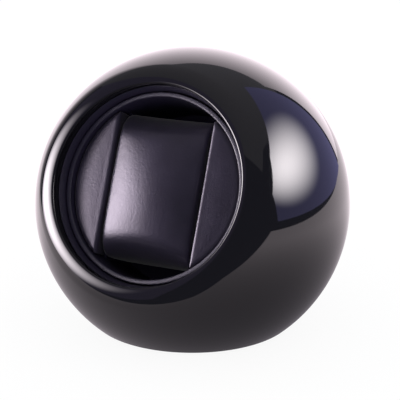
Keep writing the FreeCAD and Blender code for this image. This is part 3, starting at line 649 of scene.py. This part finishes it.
def glow(name, edge, core, spot):
    """Light that runs from a core colour to an edge colour.

    spot is the middle of the core, its half width and its half height."""
    material = bpy.data.materials.new(name)
    material.use_nodes = True
    tree = material.node_tree
    tree.nodes.clear()
    output = tree.nodes.new("ShaderNodeOutputMaterial")
    light = tree.nodes.new("ShaderNodeEmission")
    tree.links.new(light.outputs[0], output.inputs["Surface"])
    x, y, wide, high = spot
    where = tree.nodes.new("ShaderNodeTexCoord")
    place = tree.nodes.new("ShaderNodeMapping")
    place.inputs["Location"].default_value = (-x / wide, -y / high, 0)
    place.inputs["Scale"].default_value = (1 / wide, 1 / high, 0)
    tree.links.new(where.outputs["Object"], place.inputs["Vector"])
    distance = tree.nodes.new("ShaderNodeVectorMath")
    distance.operation = "LENGTH"
    tree.links.new(place.outputs["Vector"], distance.inputs[0])
    fall = tree.nodes.new("ShaderNodeMapRange")
    fall.interpolation_type = "SMOOTHSTEP"
    tree.links.new(distance.outputs["Value"], fall.inputs["Value"])
    fall.inputs["To Min"].default_value = 1.0
    fall.inputs["To Max"].default_value = 0.0
    shade = tree.nodes.new("ShaderNodeMix")
    shade.data_type = "RGBA"
    tree.links.new(fall.outputs["Result"], shade.inputs["Factor"])
    next(s for s in shade.inputs if s.name == "A" and s.type == "RGBA").default_value = (*edge, 1)
    next(s for s in shade.inputs if s.name == "B" and s.type == "RGBA").default_value = (*core, 1)
    colour = next(s for s in shade.outputs if s.type == "RGBA")
    tree.links.new(colour, light.inputs["Color"])
    return material


def reflected_panel(name, bm, material, place):
    """A stage panel that only reflections see."""
    made = new_object(name, bm)
    made.data.materials.append(material)
    made.matrix_world = place
    made.visible_camera = False
    made.visible_diffuse = False
    made.visible_transmission = False
    made.visible_shadow = False


def facing(azimuth, elevation, distance):
    """Place of a panel that faces the ball; azimuth is clockwise from straight away from the camera."""
    turn, lift = math.radians(azimuth), math.radians(elevation)
    level = right * math.sin(turn) + away * math.cos(turn)
    out = level * math.cos(lift) + Vector((0, 0, math.sin(lift)))
    wide = right * math.cos(turn) - away * math.sin(turn)
    turned = Matrix((wide, out.cross(-wide), out)).transposed().to_4x4()
    return Matrix.Translation(centre + distance * out) @ turned


def polygon(corners):
    """A flat face with these corners."""
    bm = bmesh.new()
    bm.faces.new([bm.verts.new((x, y, 0)) for x, y in corners])
    return bm


def sheet_of(left, low, wide, high):
    """A flat rectangle."""
    return polygon([(left, low), (left + wide, low), (left + wide, low + high), (left, low + high)])


backdrop_glow = glow("backdrop_glow", (0.36, 0.33, 0.37), (2.9, 2.55, 2.75), (0.7, 0.45, 3.4, 2.5))
reflected_panel("backdrop", sheet_of(-3.2, -0.35, 4.58, 3.2), backdrop_glow, facing(0, 0, 1.7))
right_corners = [(-0.85, -0.57), (-0.39, 0.63), (-0.08, 0.48), (0.46, 0.19), (0.80, -0.14), (0.93, -0.56)]
right_glow = glow("right_glow", (0.45, 0.43, 0.86), (17, 16, 16.6), (0.38, 0.0, 0.74, 0.46))
reflected_panel("right_softbox", polygon(right_corners), right_glow, facing(80, 27, 0.95))
left_glow = glow("left_glow", (0.24, 0.21, 0.34), (26, 23.8, 25.4), (0.16, 0.0, 0.66, 0.52))
reflected_panel("left_softbox", sheet_of(-0.75, -0.50, 1.4, 1.3), left_glow, facing(-106, 9, 1.0))
ceiling_glow = glow("ceiling_glow", (0.33, 0.32, 0.36), (0.4, 0.38, 0.42), (0, 0, 2, 2))
reflected_panel("ceiling", sheet_of(-2.0, -2.0, 4.0, 4.0), ceiling_glow, facing(0, 90, 1.8))
table_corners = [(-0.7, 1.6), (0.58, 1.6), (0.55, -0.13), (0.05, -0.112), (-0.03, -0.135), (-0.25, -0.20),
                 (-0.7, -0.12)]
# Painted shadow: the table's reflection glows dim at its core round the ball and bright further out,
# standing in for the shade the ball casts on the table.
table_glow_painted_shadow = glow("table_glow_painted_shadow", (1.5, 1.33, 1.42), (0.2, 0.185, 0.21), (0.03, 0, 0.31, 0.31))
reflected_panel("table_sheen", polygon(table_corners), table_glow_painted_shadow, Matrix.Identity(4))
room_colour = (0.11, 0.11, 0.15)
dark_room = bmesh.new()
bmesh.ops.create_icosphere(dark_room, subdivisions=4, radius=4.0)
room_glow = glow("room_glow", room_colour, room_colour, (0, 0, 1, 1))
reflected_panel("dark_room", dark_room, room_glow, Matrix.Identity(4))


def table():
    """The white table top, which gloss doesn't mirror."""
    material, shader, add, link = new_material("white_table")
    shader.inputs["Base Color"].default_value = (0.09, 0.09, 0.092, 1)
    shader.inputs["Specular IOR Level"].default_value = 0.0
    shader.inputs["Emission Color"].default_value = (1, 1, 1, 1)
    shader.inputs["Emission Strength"].default_value = 0.92
    link(ranged(add, link, object_noise(add, link, 30), 0.65, 0.8), shader.inputs["Roughness"])
    table_half = 6.0
    clear_of_foot = 0.3 * MM
    bm = bmesh.new()
    bmesh.ops.create_grid(bm, x_segments=1, y_segments=1, size=table_half)
    made = new_object("table_top", bm)
    made.data.materials.append(material)
    made.location = (0, 0, -clear_of_foot)
    made.visible_glossy = False


table()

world = bpy.data.worlds.new("studio")
world.use_nodes = True
world.node_tree.nodes["Background"].inputs["Color"].default_value = (1, 1, 1, 1)
world.node_tree.nodes["Background"].inputs["Strength"].default_value = 1.0
bpy.context.scene.world = world
bpy.context.scene.view_settings.view_transform = "Standard"
